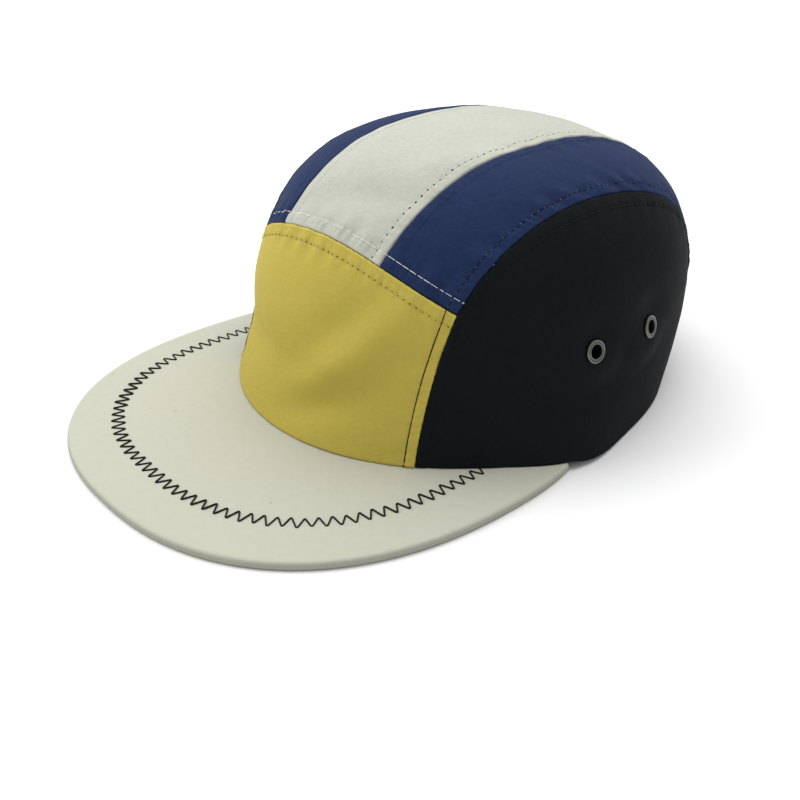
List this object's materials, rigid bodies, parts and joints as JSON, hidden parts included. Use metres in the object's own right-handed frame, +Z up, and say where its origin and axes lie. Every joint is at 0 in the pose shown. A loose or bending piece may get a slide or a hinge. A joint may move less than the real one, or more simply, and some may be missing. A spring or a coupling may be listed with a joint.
{
  "type": "running cap",
  "caption": "Light cloth running cap with a tall front panel, strips over the crown, side panels with vent eyelets, and a flat stiff brim that shades the eyes.",
  "frame": {"origin": "the middle of the cap's box, on the surface that it stands on", "axes": "+Z up, the brim along -Y, the wearer's left along +X; the cap is alike on both sides of X = 0"},
  "size_m": [0.1886, 0.2766, 0.1029],
  "materials": {
    "yellow_cloth": "matt plain weave, mustard yellow",
    "white_cloth": "matt plain weave, off-white",
    "blue_cloth": "matt plain weave, navy",
    "black_cloth": "matt plain weave, black",
    "canvas": "unbleached canvas with fine specks",
    "gunmetal": "satin, dark plated"
  },
  "bodies": {
    "root": {"front_panel": "yellow_cloth", "centre_panel": "white_cloth", "left_strip_panel": "blue_cloth", "right_strip_panel": "blue_cloth", "left_side_panel": "black_cloth", "right_side_panel": "black_cloth", "back_panel": "black_cloth", "brim": "canvas", "left_front_eyelet": "gunmetal", "left_rear_eyelet": "gunmetal", "right_front_eyelet": "gunmetal", "right_rear_eyelet": "gunmetal"}
  },
  "joints": []
}
